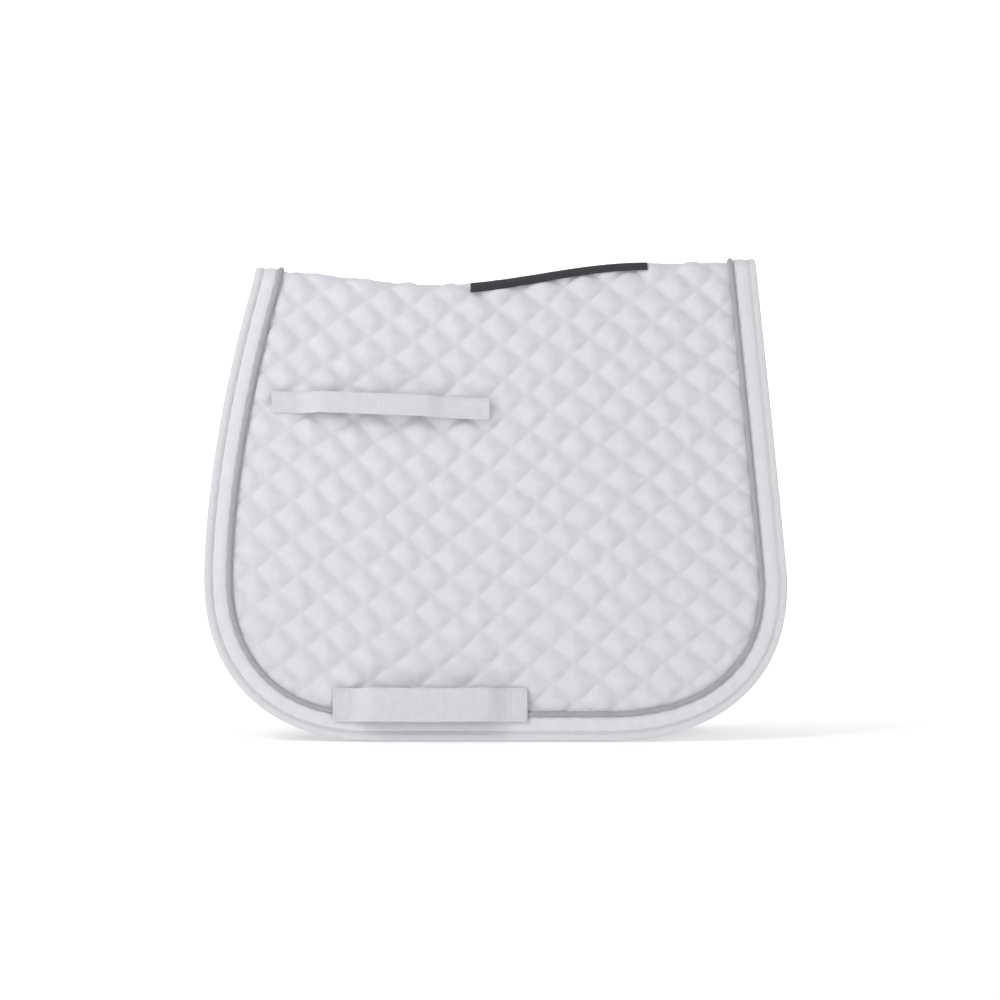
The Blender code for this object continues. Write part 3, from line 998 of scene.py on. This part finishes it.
def fuzzy_material(name, light, dark, grain, depth, roughness=0.97, sheen=0.5, detail=6.0):
    """Fibrous stuff, such as loop tape and batting, whose colour and relief follow its grain."""
    made, tree, shader = new_material(name, light, roughness, sheen)
    coordinates = add_node(tree, "ShaderNodeTexCoord")
    fibres = noise(tree, coordinates.outputs["Object"], grain, detail)
    tinted(tree, shader, fibres, dark, light)
    tree.links.new(bump(tree, fibres, depth), shader.inputs["Normal"])
    return made


def thread_material(name, light, dark):
    """Sewing thread, twisted along its length."""
    return fuzzy_material(name, light, dark, 900.0, 0.0001, roughness=0.55, sheen=0.1, detail=2.0)


def make_materials():
    """Every finish by its use, each with its lighter and its darker colour."""
    return {
        "cover": cloth_material(
            "quilted_cotton", (0.735, 0.725, 0.765), (0.680, 0.672, 0.718),
            roughness=0.88, thread=0.0009, depth=0.00010, crumple=0.0006, sheen=0.25,
        ),
        "lining": cloth_material(
            "lining_cotton", (0.745, 0.735, 0.770), (0.690, 0.682, 0.722),
            roughness=0.92, thread=0.0011, depth=0.00010, crumple=0.0006, sheen=0.2,
        ),
        "batting": fuzzy_material(
            "batting_fibre", (0.76, 0.755, 0.785), (0.70, 0.695, 0.73), grain=240.0, depth=0.0008
        ),
        "band": cloth_material(
            "border_twill", (0.755, 0.745, 0.782), (0.705, 0.697, 0.737),
            roughness=0.80, thread=0.0008, depth=0.00010, crumple=0.0004, sheen=0.2,
        ),
        "binding": webbing_material(
            "binding_tape", (0.86, 0.855, 0.88), (0.80, 0.793, 0.825), rib=0.0012
        ),
        "piping": cloth_material(
            "piping_cloth", (0.43, 0.425, 0.46), (0.37, 0.365, 0.40),
            roughness=0.62, thread=0.0008, depth=0.00014, crumple=0.0003, sheen=0.15,
        ),
        "webbing": webbing_material(
            "strap_webbing", (0.80, 0.79, 0.82), (0.69, 0.68, 0.72), rib=0.0018
        ),
        "loop": fuzzy_material(
            "loop_tape", (0.70, 0.70, 0.73), (0.52, 0.52, 0.55), grain=1500.0, depth=0.0006
        ),
        "hook": fuzzy_material(
            "hook_tape", (0.66, 0.66, 0.69), (0.50, 0.50, 0.53), 900.0, 0.0004, roughness=0.6
        ),
        "label": webbing_material(
            "label_ribbon", (0.060, 0.060, 0.070), (0.030, 0.030, 0.038), rib=0.0008
        ),
        "thread": thread_material("white_thread", (0.76, 0.75, 0.79), (0.66, 0.65, 0.69)),
        "dark_thread": thread_material("dark_thread", (0.12, 0.12, 0.13), (0.07, 0.07, 0.08)),
    }


# ---- Putting the pad together ----


def bend_with(piece):
    """Bakes the piece's placement into its mesh, leaving it where it was made.
    """
    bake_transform(piece)


def sheet_size(side_inset):
    """Width, length and area of one half's cloth cut to this inset."""
    line = inset_line(side_inset)
    width = line[:, 0].max() - line[:, 0].min()
    length = -line[:, 1].min()
    ends = np.roll(line, -1, axis=0)
    area = abs((line[:, 0] * ends[:, 1] - line[:, 1] * ends[:, 0]).sum()) / 2
    return (float(width), float(length)), float(area)


def place_presses():
    """Tells the cover where straps and the label are sewn down on it."""
    tabs = [
        (billet_down, BILLET_WIDTH, (BILLET_START_X, BILLET_HINGE_X), UNDER_BILLET),
        (billet_down, BILLET_WIDTH, (BILLET_END_X - PATCH_LENGTH, BILLET_END_X), UNDER_BILLET),
        (girth_down, GIRTH_WIDTH, (GIRTH_START_X, GIRTH_START_X + GIRTH_TAB), UNDER_GIRTH),
        (girth_down, GIRTH_WIDTH, (GIRTH_END_X - GIRTH_TAB, GIRTH_END_X), UNDER_GIRTH),
    ]
    for side in (NEAR, FAR):
        for middle_down, width, x_range, out in tabs:
            x = sum(x_range) / 2
            downs = middle_down(x) + np.array([-width / 2, width / 2])
            press(x_range, across_at(x, downs, side).tolist(), out)
    middle = float(arch_radius(sum(LABEL_X) / 2))
    press(LABEL_X, [angle * middle for angle in LABEL_ANGLES], UNDER_LABEL)


def make_flap(side, looks):
    """Everything on one flap, each cloth up to the middle of the ridge."""
    name = SIDE_NAMES[side]
    cover, cover_surface = make_cover(side, looks["cover"])
    batting = make_batting(side, cover_surface, looks["batting"])
    bend_with(batting)
    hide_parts(f"{name}_batting", "spine_batting")

    bend_with(cover)
    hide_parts(f"{name}_quilted_cover", "spine_quilted_cover")
    flat, area = sheet_size(COVER_EDGE)

    lining = make_lining(side, looks["lining"])
    bend_with(lining)
    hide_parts(f"{name}_lining", "spine_lining")
    flat, area = sheet_size(LINING_EDGE)

    borders = [
        ("border_band", band_section(), "band", "white_binding", 0.00035),
        ("piping", piping_section(), "piping", "grey_piping", 0.00008),
        ("edge_binding", binding_section(), "binding", "white_binding", 0.00015),
    ]
    for piece, section, look, slot, ripple in borders:
        made = border_piece(f"{name}_{piece}_sewn", side, section, looks[look], ripple)
        bend_with(made)
        nodes = [f"{name}_{piece}"] + [f"{end}_spine_{look}" for end in ("front", "rear")]
        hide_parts(*nodes)

    for made in (
        quilt_stitching(side, looks["thread"]),
        lining_stitching(side, looks["thread"]),
        edge_stitching(side, looks["thread"]),
    ):
        bend_with(made)

    make_straps(side, looks, name)


def make_straps(side, looks, name):
    """The billet keeper strap with its hook and loop tapes, and the girth keeper; the hook tape and
    its stitches move with the keeper.
    """
    flap, keeper = f"{name}_flap", f"{name}_billet_keeper"
    webbing = looks["webbing"]
    strap = ribbon(
        f"{name}_billet_strap", side, billet_line(), billet_down, BILLET_WIDTH, webbing
    )
    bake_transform(strap)
    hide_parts(f"{name}_billet_keeper", f"{name}_billet_keeper_base")

    tape_x = (BILLET_END_X - PATCH_LENGTH, BILLET_END_X)
    loop = patch(f"{name}_loop_tape", side, tape_x, LOOP_OUT, looks["loop"])
    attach(loop, flap)
    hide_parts(f"{name}_billet_loop_patch")
    hook = patch(f"{name}_hook_tape", side, tape_x, HOOK_OUT, looks["hook"])
    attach(hook, keeper)
    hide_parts(f"{name}_billet_hook_patch")

    girth = ribbon(
        f"{name}_girth_strap", side, girth_line(), girth_down, GIRTH_WIDTH, webbing, bow=0.0015
    )
    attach(girth, flap)
    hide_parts(f"{name}_girth_keeper")

    web = WEB_THICKNESS / 2 + 0.0002
    billet_out, girth_out, closed_out = SEWN_OUT + web, GIRTH_SEWN_OUT + web, CLOSED_OUT + web
    base_x = (BILLET_START_X + 0.002, BILLET_HINGE_X - 0.004)
    front_x = (GIRTH_START_X + 0.002, GIRTH_START_X + GIRTH_TAB - 0.001)
    rear_x = (GIRTH_END_X - GIRTH_TAB + 0.001, GIRTH_END_X - 0.002)
    sewn_on = [
        (base_x, billet_down, BILLET_WIDTH, billet_out, True),
        (front_x, girth_down, GIRTH_WIDTH, girth_out, True),
        (rear_x, girth_down, GIRTH_WIDTH, girth_out, True),
    ]
    made = strap_stitching(f"{name}_strap_stitching", side, sewn_on, looks["thread"])
    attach(made, flap)
    hooked_x = (tape_x[0] + 0.002, tape_x[1] - 0.002)
    hooked = [(hooked_x, billet_down, BILLET_WIDTH, closed_out, False)]
    made = strap_stitching(f"{name}_hook_stitching", side, hooked, looks["thread"])
    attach(made, keeper)


def make_label(looks):
    """The label ribbon and its stitches, fixed where they are made."""
    ribbon_piece = label(looks["label"])
    bend_with(ribbon_piece)
    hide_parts("spine_label")
    made = label_stitching(looks["dark_thread"])
    bend_with(made)


# ---- Stage ----


def make_stage():
    """A pale round floor that curves up into a low wall on every side, far from the pad."""
    made, _, shader = new_material("studio_floor", (0.93, 0.93, 0.93), 0.9)
    shader.inputs["Emission Color"].default_value = (1.0, 1.0, 1.0, 1.0)
    shader.inputs["Emission Strength"].default_value = 0.28
    floor_radius, curve_radius, wall_top, slices = 6.0, 1.5, 3.4, 96
    bend = np.linspace(0.0, np.pi / 2, 13)
    radii = [0.02, *(floor_radius + curve_radius * np.sin(bend)), floor_radius + curve_radius]
    heights = [0.0, *(curve_radius * (1.0 - np.cos(bend))), wall_top]
    turn = np.linspace(0.0, 2 * np.pi, slices, endpoint=False)
    circle = np.column_stack([np.cos(turn), np.sin(turn), np.zeros(slices)])
    points = np.concatenate([r * circle + (0.0, 0.0, z) for r, z in zip(radii, heights)])
    i, j = np.meshgrid(np.arange(len(radii) - 1), np.arange(slices), indexing="ij")
    k = (j + 1) % slices
    start, following = i * slices, (i + 1) * slices
    faces = np.stack([start + j, following + j, following + k, start + k], axis=-1)
    middle = list(range(slices))
    add_mesh("studio_floor", points, faces.reshape(-1, 4), made, ends=[middle])


def add_light(name, place_at, target, size, power):
    """A round area light, its size in metres and its power in watts."""
    data = bpy.data.lights.new(name, "AREA")
    data.shape = "DISK"
    data.size = size
    data.energy = power
    made = bpy.data.objects.new(name, data)
    made.location = place_at
    direction = Vector(target) - Vector(place_at)
    made.rotation_euler = direction.to_track_quat("-Z", "Y").to_euler()
    bpy.context.scene.collection.objects.link(made)


def make_lights():
    world = bpy.data.worlds.new("studio_air")
    world.use_nodes = True
    background = world.node_tree.nodes["Background"]
    background.inputs["Color"].default_value = (1.0, 1.0, 1.0, 1.0)
    background.inputs["Strength"].default_value = 0.44
    bpy.context.scene.world = world
    middle = (0.0, 0.0, 0.28)
    add_light("key_light", (-1.7, -1.4, 2.2), middle, 1.6, 33.5)
    add_light("back_light", (1.9, 1.5, 2.2), middle, 1.0, 15.0)
    add_light("backdrop_light", (0.0, 1.6, 3.8), (0.0, 7.5, 1.2), 3.0, 210.0)


def make_camera():
    """Level with the pad's middle, square to its near side."""
    data = bpy.data.cameras.new("photo_camera")
    data.sensor_width = 36.0
    data.lens = 90.0
    made = bpy.data.objects.new("photo_camera", data)
    made.location = (0.005, -2.90, 0.2705)
    made.rotation_euler = (math.radians(90.0), 0.0, 0.0)
    bpy.context.scene.collection.objects.link(made)
    bpy.context.scene.camera = made


def main():
    make_camera()
    make_stage()
    make_lights()
    bpy.context.scene.view_settings.view_transform = "Standard"
    looks = make_materials()
    place_presses()
    for side in (NEAR, FAR):
        make_flap(side, looks)
    make_label(looks)


main()
